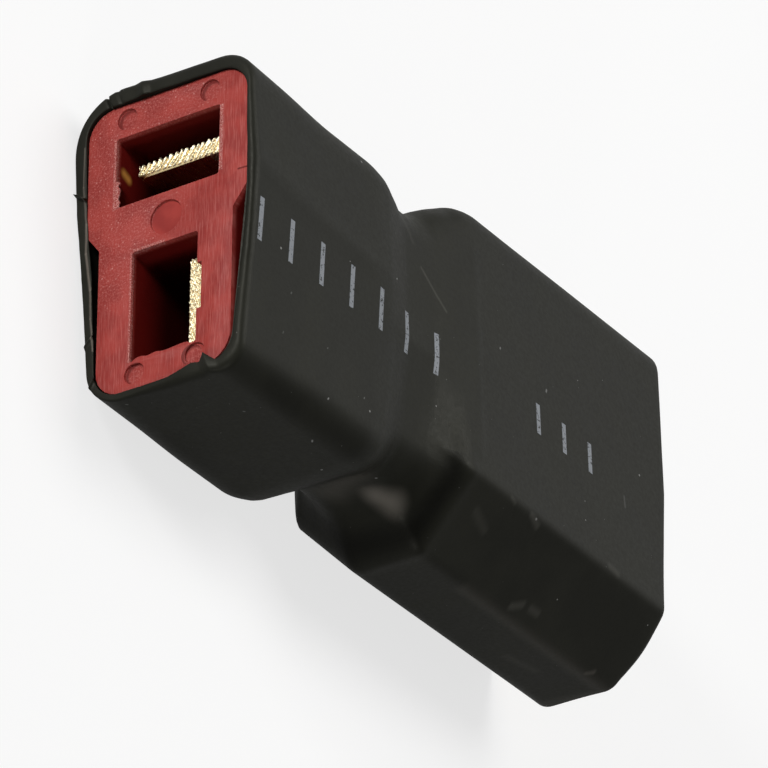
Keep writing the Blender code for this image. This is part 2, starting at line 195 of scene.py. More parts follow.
sleeve = {
    "columns": 340,
    "mouthRows": 16,
    "mouthLength": 1.7,
    "bodyRows": 140,
    "wall": 0.43,
    "fill": 0.8,  # the widest gap to a housing that the wall fills
    "clearance": 0.03,
    "below": 0.499,  # how far it may reach under the socket, which keeps it off the floor
    # x, the section there, and how far it has gone over to the next one
    "stations": [
        (-0.4, "mouth", 0.0), (3.0, "mouth", 0.4), (6.8, "socket", 0.0), (9.6, "socket", 0.0),
        (10.75, "socket", 0.13), (11.65, "socket", 0.53), (12.7, "throat", 0.0), (13.5, "throat", 0.0),
        (14.5, "throat", 0.13), (15.3, "throat", 0.41), (16.2, "throat", 0.69), (17.2, "throat", 0.91),
        (18.4, "plug", 0.0), (34.5, "plug", 0.0),
    ],
    # how far the foot's neck lies behind the head's, its middle and spread along x, and the +Z side's share
    "footLag": (1.15, 14.3, 2.4, 0.3),
    # the plug's shoulder is steeper at the foot: where it rises, and how far ahead it gets
    "footRise": (15.5, 17.15, 1.6),
    "farLean": (0.85, 1.0),  # how far the far cut leans back at the foot, and the height where it starts
    "farLip": 0.63,
    "farRound": (0.35, 0.7),  # along x, and as a share of the wall
    "farBulge": ((-7.0, 3.0), 0.44, 1.7),  # the cut comes out again over the chamfer on the +Z side
    "waves": 0.02,
}

# The mouth's cut: its place is mean + cosine of the angle, of twice the angle, and sine of the angle.
# A small event has its y and z, how far the cut comes forward there, how far it reaches over the socket's
# face, and half of its width.
mouthCut = {
    "place": (-0.06, -0.1, -0.09, 0.05),
    "outerRound": (0.38, 0.62),  # along x, and as a share of the wall
    "outerRoundBelow": (0.12, 0.3),  # on the -Z side
    "innerRound": (0.06, 0.16),
    "ripples": ((0.02, 14.0, 3), (0.012, 40.0, 4)),  # height, rate and seed
    "events": [
        (7.46, -2.78, -0.16, 0.0, 0.09),
        (7.5, -2.2, -0.06, 0.0, 0.14),
        (7.5, -0.95, 0.12, 0.0, 0.4),
        (3.25, -4.54, 0.26, 0.0, 0.075),
        (-6.21, -3.95, 0.12, 0.0, 0.08),
        (-4.28, -4.3, 0.1, 0.0, 0.12),
        (-6.57, 1.8, 0.16, 0.42, 0.34),
        (-6.7, 1.1, 0.04, 0.28, 1.2),
        (-0.8, -4.2, 0.0, 0.15, 5.0),
    ],
}


def sectionReach(name, inset, angles):
    upper, lower = sleeveSections[name]
    outline = roundOutline(upper + lower[::-1])
    tangent = np.roll(outline, -1, axis=0) - np.roll(outline, 1, axis=0)
    normal = np.stack([tangent[:, 1], -tangent[:, 0]], axis=1) / np.linalg.norm(tangent, axis=1)[:, None]
    outward = np.sign((normal * outline).sum())
    return reachAlong(outline - outward * inset * normal, angles)


# Reach of the sleeve at each x and angle: sections blended along x, with the foot's neck lying further back
def sleeveReach(x, angles, inset):
    following = {"mouth": "socket", "socket": "throat", "throat": "plug"}
    stations, values = [], []
    for station, name, share in sleeve["stations"]:
        here = sectionReach(name, inset, angles)
        if share:
            here = here + share * (sectionReach(following[name], inset, angles) - here)
        stations.append(station)
        values.append(here)
    lag, middle, spread, left = sleeve["footLag"]
    t = np.clip((-np.sin(angles) - 0.1) / 0.35, 0, 1)
    lag = lag * (left + (1 - left) * t * t * (3 - 2 * t))
    shift = lag * (1 - np.cos(angles)) / 2 * np.exp(-(((x - middle) / spread) ** 2))
    start, end, ahead = sleeve["footRise"]
    rise = np.clip((x - start) / (end - start), 0, 1)
    foot = np.clip((-np.cos(angles) - 0.25) / 0.45, 0, 1)
    shift = shift - ahead * rise * rise * foot * foot * (3 - 2 * foot)
    return throughStations(np.array(stations), np.array(values), x - shift)


# The housings' outlines on the +Z side: their top, then where the step or chamfer starts, then the foot
housings = {"footHalf": 3.38, "stepHeight": 1.1, "socketRound": 1.3, "chamfer": 2.7, "plugRound": 0.8}


# Reach of what the sleeve has to clear: the two housings, each over its own length
def housingReach(x, angles):
    half = (socketHigh.z - socketLow.z) / mm / 2
    socketTop = socketHigh.y / mm
    plugTop = plugHigh.y / mm
    socketRound, plugRound, chamfer = housings["socketRound"], housings["plugRound"], housings["chamfer"]
    socketSide = [(socketTop, half, socketRound), (housings["stepHeight"], half, socketRound)]
    socketSide += [(-socketTop, housings["footHalf"], socketRound)]
    plugSide = [(plugTop, half, plugRound), (chamfer - plugTop, half, plugRound)]
    plugSide += [(-plugTop, half - chamfer, plugRound)]
    reaches = []
    for side, rate in ((socketSide, lean["rate"]), (plugSide, 0.0)):
        outline = roundOutline(side + [(y, -z, radius) for y, z, radius in side[::-1]])
        outline[:, 1] += rate * (outline[:, 0] - lean["about"])
        reaches.append(reachAlong(outline, angles) + sleeve["clearance"])
    reach = np.where(x < socketDepth, reaches[0], 0)
    return np.where(x > plugRear, reaches[1], reach)


# Thickness of the wall where there is this much room outside the housing: it fills a narrow gap
# and stands off from the housing in a wide one
def wallThickness(room):
    standingOff = np.maximum(sleeve["wall"], sleeve["fill"] - 0.6 * (room - sleeve["fill"]))
    return np.where(room < sleeve["fill"], room, standingOff)


# Local forms in the sleeve: a point (or the two ends of a crease), how far it stands out, and its spread
# along and round the sleeve
sleeveForms = [
    ([(14.9, -6.3, 1.6)], 0.16, (1.3, 0.9)),  # over the lower solder cup
    ([(15.0, -6.0, -1.6)], 0.12, (1.3, 0.9)),
    ([(15.8, -3.6, 4.1)], -0.07, (1.1, 1.4)),
    ([(16.4, 7.4, 3.8)], -0.1, (0.7, 0.7)),  # dimple under the plug's top
    ([(16.1, -4.5, 4.1), (16.2, -6.9, 2.2)], -0.12, (0.55, 0.7)),  # hollow before the plug
    ([(16.1, -6.9, 1.7), (16.0, -6.9, -1.0)], -0.08, (0.45, 0.6)),
    ([(17.15, -5.3, 4.4), (17.15, -8.2, 1.7)], 0.03, (0.3, 0.4)),  # the plug's rear edges
    ([(17.15, -8.4, 1.5), (17.1, -8.4, -1.3)], 0.03, (0.3, 0.4)),
    ([(14.3, 3.4, 4.1)], 0.08, (1.4, 1.6)),  # over the upper solder cup
    ([(14.3, 3.4, -4.1)], 0.08, (1.4, 1.6)),
    ([(17.7, 6.0, 4.5), (17.7, -4.0, 4.5)], 0.035, (0.28, 0.28)),  # edge of the plug behind
    ([(17.7, 6.0, -4.5), (17.7, -4.0, -4.5)], 0.035, (0.28, 0.28)),
    ([(3.6, 1.8, -4.5), (9.0, 1.3, -4.5)], 0.04, (0.5, 0.5)),  # over the socket's step
    ([(0.3, 2.0, -4.5), (6.0, 1.6, -4.5)], 0.05, (0.6, 0.6)),
    ([(0.0, 2.1, 4.5), (9.0, 1.4, 4.5)], 0.03, (0.6, 0.6)),
]


# Height of a form at each grid point: it falls off as a bell with the distance from its point or crease
def formHeight(points, form):
    ends, out, (spreadX, spreadAround) = form
    first, last = np.array(ends[0]), np.array(ends[-1])
    along = last - first
    length = max(along @ along, 1e-9)
    t = np.clip(((points - first) @ along) / length, 0, 1)
    away = points - first - t[..., None] * along
    around = away[..., 1] ** 2 + away[..., 2] ** 2
    return out * np.exp(-((away[..., 0] / spreadX) ** 2) - around / spreadAround**2)


def ringPoints(x, reach, angles):
    return np.stack([x, reach * np.cos(angles), reach * np.sin(angles)], axis=-1)


# Distance round the sleeve from the point (y, z) to each angle
def aroundFrom(angles, y, z):
    return ((angles - math.atan2(z, y) + math.pi) % math.tau - math.pi) * math.hypot(y, z)


# Where the mouth's cut lies at each angle, and how far its inner edge reaches over the socket's face
def mouthEdge(angles):
    mean, first, second, side = mouthCut["place"]
    cut = mean + first * np.cos(angles) + second * np.cos(2 * angles) + side * np.sin(angles)
    for size, rate, seed in mouthCut["ripples"]:
        cut = cut + size * softWaves(rate * np.cos(angles), rate * np.sin(angles), seed)
    over = 0.03 + 0.03 * softWaves(22 * np.cos(angles), 22 * np.sin(angles), 6)
    for y, z, forward, reachOver, half in mouthCut["events"]:
        share = np.clip(1 - np.abs(aroundFrom(angles, y, z)) / half, 0, 1)
        cut = cut - forward * share
        over = over + reachOver * share
    return cut, over


# Where the far cut lies at each angle: it leans back below a height
def farPlace(angles, reach):
    back, start = sleeve["farLean"]
    below = np.clip((start - reach * np.cos(angles)) / (start + plugHigh.y / mm), 0, 1)
    ripple = 0.02 * softWaves(10 * np.cos(angles), 10 * np.sin(angles), 5)
    (y, z), out, spread = sleeve["farBulge"]
    bulge = out * np.exp(-((aroundFrom(angles, y, z) / spread) ** 2))
    return plugFace + sleeve["farLip"] + np.minimum(ripple, 0.02) - back * below + bulge


# Angles of the sleeve's columns: even ones, and a few more round each small event of the mouth's cut
def sleeveAngles():
    even = np.linspace(-math.pi, math.pi, sleeve["columns"], endpoint=False)
    more = []
    for y, z, *_, half in mouthCut["events"]:
        if half < 1:
            more += list(math.atan2(z, y) + np.linspace(-1.1, 1.1, 9) * half / math.hypot(y, z))
    merged = np.sort(np.concatenate([even, more]))
    return merged[np.concatenate([[True], np.diff(merged) > 0.0015])]


# The sleeve: rows run from the mouth's cut along the outside, round the far rim and back along the inside.
# Each row has its x and its depth in the wall, 0 outside and 1 inside.
def makeSleeve(material):
    angles = sleeveAngles()
    lipX, over = mouthEdge(angles)
    farX = farPlace(angles, sleeveReach(np.full_like(angles, plugFace), angles, 0.0))
    innerAlong, innerDepth = mouthCut["innerRound"]
    below = np.clip(-np.sin(angles) / 0.3, 0, 1)
    upper, lower = np.array(mouthCut["outerRound"]), np.array(mouthCut["outerRoundBelow"])
    outerAlong, outerDepth = upper[:, None] + below * (lower - upper)[:, None]
    farAlong, farDepth = sleeve["farRound"]
    level = np.zeros_like(angles)
    rows = []
    for turn in np.linspace(0, math.pi / 2, 5):  # inner edge of the mouth's cut
        rows.append((lipX + innerAlong * (1 - math.sin(turn)), level + 1 - innerDepth * (1 - math.cos(turn))))
    for turn in np.linspace(math.pi / 2, 0, 7):  # outer edge of the cut
        rows.append((lipX + outerAlong * (1 - math.sin(turn)), outerDepth * (1 - math.cos(turn))))
    frontRows = len(rows)
    start, middle, end = lipX + outerAlong, sleeve["mouthLength"], farX - farAlong
    for share in np.linspace(0, 1, sleeve["mouthRows"])[1:-1]:
        rows.append((start + (middle - start) * share, level))
    for share in np.linspace(0, 1, sleeve["bodyRows"])[:-1]:
        rows.append((middle + (end - middle) * share, level))
    for turn in np.linspace(0, math.pi / 2, 8):  # the far rim
        rows.append((farX - farAlong * (1 - math.sin(turn)), level + farDepth * (1 - math.cos(turn))))
    inner = [farX - 0.02, farX - 0.3, level + plugFace - 0.5]
    stretches = [(plugFace - 2, plugRear + 0.01, 6), (plugRear - 0.05, socketDepth + 0.05, 18)]
    for first, last, count in stretches + [(socketDepth - 0.01, 1.2, 6)]:
        inner += [level + x for x in np.linspace(first, last, count)]
    inner += [lipX + 0.6, lipX + 0.25, np.minimum(lipX + innerAlong + 0.02, -0.015)]
    rows += [(x, level + 1) for x in inner]
    x, depth = np.array(rows).transpose(1, 0, 2)
    outside = sleeveReach(x, angles, 0.0)
    base = ringPoints(x, outside, angles)
    height = sleeve["waves"] * softWaves(0.55 * base[..., 0], 0.7 * base[..., 1] + 0.9 * base[..., 2], 11, 9)
    for form in sleeveForms:
        height += formHeight(base, form)
    height *= np.clip((x - lipX) / 0.6, 0, 1) * np.clip((farX - x) / 0.6, 0, 1)
    # reach lost for each mm of wall
    slope = (outside - sleeveReach(x, angles, sleeve["wall"])) / sleeve["wall"]
    outside += height
    floor = housingReach(np.where(x < lipX + 0.3, 1.0, x), angles)
    inside = np.maximum(outside - slope * wallThickness((outside - floor) / slope), floor)
    reach = outside + (inside - outside) * depth
    reach[:frontRows] -= over * np.clip((depth[:frontRows] - 0.3) / 0.5, 0, 1)
    points = ringPoints(x, reach, angles)
    points[..., 2] = np.maximum(points[..., 2], (socketLow.z - origin.z) / mm - sleeve["below"])
    count, columns = x.shape
    faces = gridFaces(count, columns, closeRows=True)
    piece = meshPiece("shrunkSleeve", place(points).reshape(-1, 3), faces[:, ::-1], material)
    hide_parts("heat_shrink_sleeve")


# A CAD node copied, merged, freed of flat seams and leaned, with its edges rounded by a small bevel
def dressedCopy(node, name, width, material, smoothAngle=32.0):
    shape = bmesh.new()
    shape.from_mesh(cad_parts[node].data)
    bmesh.ops.remove_doubles(shape, verts=shape.verts, dist=1e-6)
    bmesh.ops.dissolve_limit(shape, angle_limit=math.radians(1.0), verts=shape.verts, edges=shape.edges)
    mesh = bpy.data.meshes.new(name)
    shape.to_mesh(mesh)
    shape.free()
    points = np.empty(len(mesh.vertices) * 3)
    mesh.vertices.foreach_get("co", points)
    points = (points.reshape(-1, 3) - np.array(origin)) / mm
    mesh.vertices.foreach_set("co", place(leaned(points)).ravel())
    piece = newPiece(name, mesh, material)
    bevel = piece.modifiers.new("edges", "BEVEL")
    bevel.width = width * mm
    bevel.segments = 2
    bevel.limit_method = "ANGLE"
    bevel.angle_limit = math.radians(smoothAngle)
    bevel.harden_normals = True
    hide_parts(node)


# The two blades' sheared fronts: centre and directions in (y, z), width, thickness at the two ends,
# slant and pitch of the strokes, how much of the relief is strokes and how much is grain, and how far one long
# edge is torn
sheared = {
    "upper": {
        "centre": (4.28, -0.13), "across": (0.0, 1.0), "through": (1.0, 0.0),
        "width": 4.4, "thickness": (0.4, 0.72),
        "slant": 0.75, "pitch": 0.27, "strokes": 0.8, "grain": 0.5, "tear": 0.12, "seed": 21,
    },
    "lower": {
        "centre": (-3.03, 0.56), "across": (1.0, 0.0), "through": (0.0, -1.0),
        "width": 4.4, "thickness": (0.6, 0.6),
        "slant": 0.2, "pitch": 0.2, "strokes": 0.12, "grain": 1.0, "tear": 0.015, "seed": 22,
    },
}
shearedSize = {"rows": 30, "columns": 190, "depth": 0.5, "ahead": 0.03, "relief": 0.05, "edge": 0.06}


# The sheared front of a blade: a block whose front is a grid of strokes and pits, torn along one long edge.
# With u across the blade and v through it, both from -0.5 to 0.5, the height is the relief times the sum of
# strokes * sine of (a turn for each pitch of (u * width - slant * v * thickness) + slow waves), with a weaker
# and quicker sine, and of grain * fast waves. It's rounded off at the border.
# The attribute "pit" keeps how far each point lies below the strokes, which darkens the colour as a painted
# shade.
def makeShearedEdge(side, material):
    values = sheared[side]
    front = (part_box(side + "_contact")[0].x - origin.x) / mm
    rows, columns = shearedSize["rows"], shearedSize["columns"]
    u, v = np.meshgrid(np.linspace(-0.5, 0.5, columns), np.linspace(-0.5, 0.5, rows))
    thick = values["thickness"][0] + (values["thickness"][1] - values["thickness"][0]) * (u + 0.5)
    along = u * values["width"]
    slanted = along - values["slant"] * v * thick
    seed = values["seed"]
    jitter = 2.6 * softWaves(along * 6, v * 5, seed, 7)
    stroke = np.sin(math.tau * slanted / values["pitch"] + jitter)
    fine = softWaves(slanted * 55, v * thick * 48, seed + 5, 16)
    quick = 0.4 * np.sin(2.7 * math.tau * slanted / values["pitch"] + 2 * jitter)
    height = values["strokes"] * (stroke + quick) + values["grain"] * 2.2 * fine
    border = np.minimum((0.5 - np.abs(u)) * values["width"], (0.5 - np.abs(v)) * thick)
    rounding = np.clip(border / shearedSize["edge"], 0, 1)
    roundedOff = shearedSize["edge"] * (1 - np.sqrt(1 - (1 - rounding) ** 2))
    x = front - shearedSize["ahead"] - shearedSize["relief"] * height + roundedOff
    tear = values["tear"] * (0.45 + 0.75 * stroke + 0.8 * softWaves(slanted * 20, v * 0, seed + 9, 6))
    through = v * thick + tear * np.clip((v - 0.15) / 0.35, 0, 1)
    directions = zip(values["centre"], values["across"], values["through"])
    yz = [centre + along * across + through * inward for centre, across, inward in directions]
    frontPoints = np.stack([x, *yz], axis=-1).reshape(-1, 3)
    backPoints = frontPoints.copy()
    backPoints[:, 0] = front + shearedSize["depth"]
    faces = gridFaces(rows, columns, closeColumns=False)
    count = rows * columns
    index = np.arange(count).reshape(rows, columns)
    around = np.concatenate([index[0, :-1], index[:-1, -1], index[-1, :0:-1], index[:0:-1, 0]])
    following = np.roll(around, -1)
    sides = np.stack([around, around + count, following + count, following], axis=1)
    allFaces = np.vstack([faces, faces[:, ::-1] + count, sides])
    points = leaned(np.vstack([frontPoints, backPoints]))
    piece = meshPiece(side + "BladeFront", place(points), allFaces.tolist(), material)
    pit = piece.data.attributes.new("pit", "FLOAT", "POINT")
    pit.data.foreach_set("value", np.concatenate([-height.ravel(), np.zeros(count)]))
    fixNormals(piece)


# Thin moulding flash left along two edges of the slots: its two ends (y, z) on the edge, the way it grows
# into the slot, its mean width and its seed
flash = {
    "upper": {"ends": ((2.0, -2.64), (3.35, -2.64)), "into": (0.0, 1.0), "width": 0.2, "seed": 31},
    "lower": {"ends": ((-5.67, -1.6), (-5.67, 1.2)), "into": (1.0, 0.0), "width": 0.13, "seed": 32},
}


# A ribbon of flash: columns run along the edge and rows round its thin section. Its width is
# width * (1 + 0.5 * waves) and falls to nothing at both ends.
def makeFlash(name, values, material):
    share = np.linspace(0, 1, 60)
    ends = np.array(values["ends"])
    into = np.array(values["into"])
    ease = np.clip(np.minimum(share / 0.06, (1 - share) / 0.06), 0.05, 1)
    width = values["width"] * ease * (1 + 0.5 * softWaves(share * 28, share * 0, values["seed"], 6))
    rows = []
    for out, x in ((-0.12, 0.16), (-0.12, 0.012), (0.6, 0.0), (1.0, 0.03), (0.9, 0.12), (0.3, 0.2)):
        wave = 0.012 * softWaves(share * 60, share * 0 + x * 30, values["seed"] + 1, 6)
        reach = np.where(out < 0, out, out * width)
        edge = ends[0] + share[:, None] * (ends[1] - ends[0]) + reach[:, None] * into
        rows.append(np.column_stack([x + wave, edge]))
    points = np.array(rows).reshape(-1, 3)
    count = len(share)
    faces = gridFaces(len(rows), count, closeRows=True, closeColumns=False).tolist()
    faces += [[row * count + last for row in range(len(rows))] for last in (0, count - 1)]
    fixNormals(meshPiece(name + "SlotFlash", place(leaned(points)), faces, material))


def fixNormals(piece):
    shape = bmesh.new()
    shape.from_mesh(piece.data)
    bmesh.ops.remove_doubles(shape, verts=shape.verts, dist=1e-8)
    bmesh.ops.recalc_face_normals(shape, faces=shape.faces)
    shape.to_mesh(piece.data)
    shape.free()


# Materials

# Adds a node. An input that is a socket is linked, and any other is set.
def addNode(tree, kind, inputs=None, **settings):
    node = tree.nodes.new(kind)
    for key, value in settings.items():
        setattr(node, key, value)
    for key, value in (inputs or {}).items():
        if isinstance(value, bpy.types.NodeSocket):
            tree.links.new(value, node.inputs[key])
        else:
            node.inputs[key].default_value = value
    return node


def maths(tree, operation, *values, clamp=False):
    node = addNode(tree, "ShaderNodeMath", dict(enumerate(values)), operation=operation, use_clamp=clamp)
    return node.outputs[0]


def vectorMaths(tree, operation, *values, output="Vector"):
    return addNode(tree, "ShaderNodeVectorMath", dict(enumerate(values)), operation=operation).outputs[output]


# Product of any number of values
def times(tree, product, *others):
    for other in others:
        product = maths(tree, "MULTIPLY", product, other)
    return product


def largest(tree, most, *others):
    for other in others:
        most = maths(tree, "MAXIMUM", most, other)
    return most


# The x, y and z of a vector
def parts(tree, vector):
    return tuple(addNode(tree, "ShaderNodeSeparateXYZ", {0: vector}).outputs)


def smoothStep(tree, value, low, high, out=(0.0, 1.0)):
    inputs = {"Value": value, "From Min": low, "From Max": high, "To Min": out[0], "To Max": out[1]}
    return addNode(tree, "ShaderNodeMapRange", inputs, interpolation_type="SMOOTHSTEP").outputs["Result"]


def mixColour(tree, share, first, second):
    inputs = {0: share, 6: first, 7: second}  # the mix node's inputs for its share and its two colours
    inputs = {key: (*value, 1.0) if isinstance(value, tuple) else value for key, value in inputs.items()}
    return addNode(tree, "ShaderNodeMix", inputs, data_type="RGBA").outputs[2]


def noise(tree, vector, scale, detail=3.0, roughness=0.55):
    inputs = {"Vector": vector, "Scale": scale, "Detail": detail, "Roughness": roughness}
    return addNode(tree, "ShaderNodeTexNoise", inputs).outputs["Fac"]


def objectPlace(tree):
    return addNode(tree, "ShaderNodeTexCoord").outputs["Object"]


# Millimetres about the axis for the patterns: object coordinates moved to the socket's face and scaled
def axisPlace(tree):
    moved = vectorMaths(tree, "SUBTRACT", objectPlace(tree), origin)
    return vectorMaths(tree, "MULTIPLY", moved, (1 / mm,) * 3)


# A node group. An input whose default is None is a vector, and every other input and output is a number.
def newGroup(name, inputs, outputs):
    group = bpy.data.node_groups.new(name, "ShaderNodeTree")
    for socketName, default in inputs.items():
        kind = "NodeSocketVector" if default is None else "NodeSocketFloat"
        socket = group.interface.new_socket(socketName, in_out="INPUT", socket_type=kind)
        if default is not None:
            socket.default_value = default
    for socketName in outputs:
        group.interface.new_socket(socketName, in_out="OUTPUT", socket_type="NodeSocketFloat")
    return group, group.nodes.new("NodeGroupInput").outputs, group.nodes.new("NodeGroupOutput").inputs


def useGroup(tree, group, inputs):
    return addNode(tree, "ShaderNodeGroup", inputs, node_tree=group).outputs


# Fine grain and slow mottling in one height, with a mask of the high spots
def grainGroup():
    inputs = {"Place": None, "Fine Scale": 5.0, "Slow Scale": 0.5, "Slow Share": 0.3}
    group, given, out = newGroup("surfaceGrain", inputs, ["Height", "Mottle"])
    fine = noise(group, given["Place"], given["Fine Scale"], 4.0, 0.65)
    slow = noise(group, given["Place"], given["Slow Scale"], 3.0, 0.5)
    finePart = times(group, fine, maths(group, "SUBTRACT", 1.0, given["Slow Share"]))
    slowPart = times(group, slow, given["Slow Share"])
    group.links.new(maths(group, "ADD", finePart, slowPart), out["Height"])
    group.links.new(smoothStep(group, slow, 0.35, 0.65), out["Mottle"])
    return group


# Specks: small round spots in some of the cells of a cell pattern
def speckGroup():
    inputs = {"Place": None, "Scale": 1.0, "Size": 0.05, "Share": 0.2}
    group, given, out = newGroup("specks", inputs, ["Mask"])
    values = {"Vector": given["Place"], "Scale": given["Scale"]}
    cells = addNode(group, "ShaderNodeTexVoronoi", values).outputs
    pick = addNode(group, "ShaderNodeSeparateColor", {0: cells["Color"]}).outputs
    size = times(group, given["Size"], maths(group, "ADD", 0.4, pick[1]))
    chosen = maths(group, "LESS_THAN", pick[0], given["Share"])
    group.links.new(times(group, chosen, maths(group, "LESS_THAN", cells["Distance"], size)), out["Mask"])
    return group


# A soft streak between two points, with distances measured in a plane that the weights choose
def streakGroup():
    inputs = {"Place": None, "From": None, "To": None, "Plane": None, "Width": 0.1}
    group, given, out = newGroup("streak", inputs, ["Mask"])
    flat = vectorMaths(group, "MULTIPLY", given["Place"], given["Plane"])
    offset = vectorMaths(group, "SUBTRACT", flat, given["From"])
    along = vectorMaths(group, "SUBTRACT", given["To"], given["From"])
    product = vectorMaths(group, "DOT_PRODUCT", offset, along, output="Value")
    square = vectorMaths(group, "DOT_PRODUCT", along, along, output="Value")
    nearest = vectorMaths(group, "MULTIPLY", along, maths(group, "DIVIDE", product, square, clamp=True))
    away = vectorMaths(group, "LENGTH", vectorMaths(group, "SUBTRACT", offset, nearest), output="Value")
    group.links.new(smoothStep(group, away, 0.0, given["Width"], (1.0, 0.0)), out["Mask"])
    return group


# 1 inside a box of this middle and half size, fading to 0 over a soft border
def boxGroup():
    inputs = {"Place": None, "Middle": None, "Half": None, "Soft": 0.1}
    group, given, out = newGroup("boxMask", inputs, ["Mask"])
    offset = vectorMaths(group, "SUBTRACT", given["Place"], given["Middle"])
    beyond = vectorMaths(group, "SUBTRACT", vectorMaths(group, "ABSOLUTE", offset), given["Half"])
    most = largest(group, *parts(group, beyond))
    group.links.new(smoothStep(group, most, 0.0, given["Soft"], (1.0, 0.0)), out["Mask"])
    return group


# A row of plain upright bars between two heights: 1 inside a bar
def barRowGroup():
    inputs = {"Place": None, "Start": 0.0, "Pitch": 1.0, "Count": 7.0, "Bar": 0.3, "Low": -1.0, "High": 1.0}
    group, given, out = newGroup("barRow", inputs, ["Mask"])
    x, y = parts(group, given["Place"])[:2]
    along = maths(group, "DIVIDE", maths(group, "SUBTRACT", x, given["Start"]), given["Pitch"])
    inCell = times(group, maths(group, "FRACT", along), given["Pitch"])
    less = [(inCell, given["Bar"]), (0.0, along), (along, given["Count"])]
    less += [(given["Low"], y), (y, given["High"])]
    masks = [maths(group, "LESS_THAN", low, high) for low, high in less]
    group.links.new(times(group, *masks), out["Mask"])
    return group


def grainAt(tree, groups, spot, fineScale, slowScale, slowShare):
    inputs = {"Place": spot, "Fine Scale": fineScale, "Slow Scale": slowScale, "Slow Share": slowShare}
    return useGroup(tree, groups["grain"], inputs)


def specksAt(tree, groups, spot, scale, size, share):
    inputs = {"Place": spot, "Scale": scale, "Size": size, "Share": share}
    return useGroup(tree, groups["specks"], inputs)["Mask"]


# Mask of a streak between two ends, each given on the same two axes
def streakAt(tree, groups, spot, axes, first, last, width):
    inputs = {"Place": spot, "Width": width, "Plane": [float(axis in axes) for axis in range(3)]}
    for name, end in (("From", first), ("To", last)):
        point = dict(zip(axes, end))
        inputs[name] = [point.get(axis, 0.0) for axis in range(3)]
    return useGroup(tree, groups["streak"], inputs)["Mask"]


def newMaterial(name, roughness, metallic=0.0, specular=0.5):
    material = bpy.data.materials.new(name)
    material.use_nodes = True
    tree = material.node_tree
    shader = tree.nodes["Principled BSDF"]
    shader.inputs["Roughness"].default_value = roughness
    shader.inputs["Metallic"].default_value = metallic
    shader.inputs["Specular IOR Level"].default_value = specular
    return material, tree, shader


# Links the colour, and a roughness that follows a pattern between two ends
def linkFinish(tree, shader, colour, pattern, roughness):
    tree.links.new(colour, shader.inputs["Base Color"])
    tree.links.new(smoothStep(tree, pattern, 0.3, 0.7, roughness), shader.inputs["Roughness"])


def bump(tree, shader, height, strength, distance):
    inputs = {"Height": height, "Strength": strength, "Distance": distance * mm}
    tree.links.new(addNode(tree, "ShaderNodeBump", inputs).outputs["Normal"], shader.inputs["Normal"])


sleeveLook = {
    "black": (0.0112, 0.0113, 0.0084),
    "worn": (0.0155, 0.0156, 0.0117),
    "sheen": (1.0, 0.99, 0.86),
    "dust": (0.32, 0.32, 0.31),
    # smears, and a painted highlight on the far rim
    "smearAndHighlight": (0.06, 0.058, 0.05),
    # painted highlight on the inner edge of the mouth's left lip
    "lipEdgeHighlight": (0.17, 0.145, 0.122),
    # painted highlights, and one pale speck
    "paintedHighlightAndSpeck": (0.175, 0.16, 0.138),
    "shade": (0.002, 0.002, 0.0016),
    "pink": (0.16, 0.09, 0.08),
    "ink": (0.33, 0.35, 0.38),
    "inkShare": 0.9,
    "roughness": (0.42, 0.54),
    "grain": (5.0, 0.35, 0.35),  # scale of the fine grain, scale and share of the slow one
    # scale, size and share of fine and of larger specks, and how plain they are
    "specks": [(2.2, 0.05, 0.22, 0.25), (0.95, 0.045, 0.3, 0.8)],
    "ticks": [  # two rows of plain upright bars in pale ink
        {"Start": 0.55, "Pitch": 2.35, "Count": 7, "Bar": 0.32, "Low": -1.4, "High": 0.6},
        {"Start": 22.6, "Pitch": 2.2, "Count": 3, "Bar": 0.32, "Low": -0.9, "High": 0.6},
    ],
}
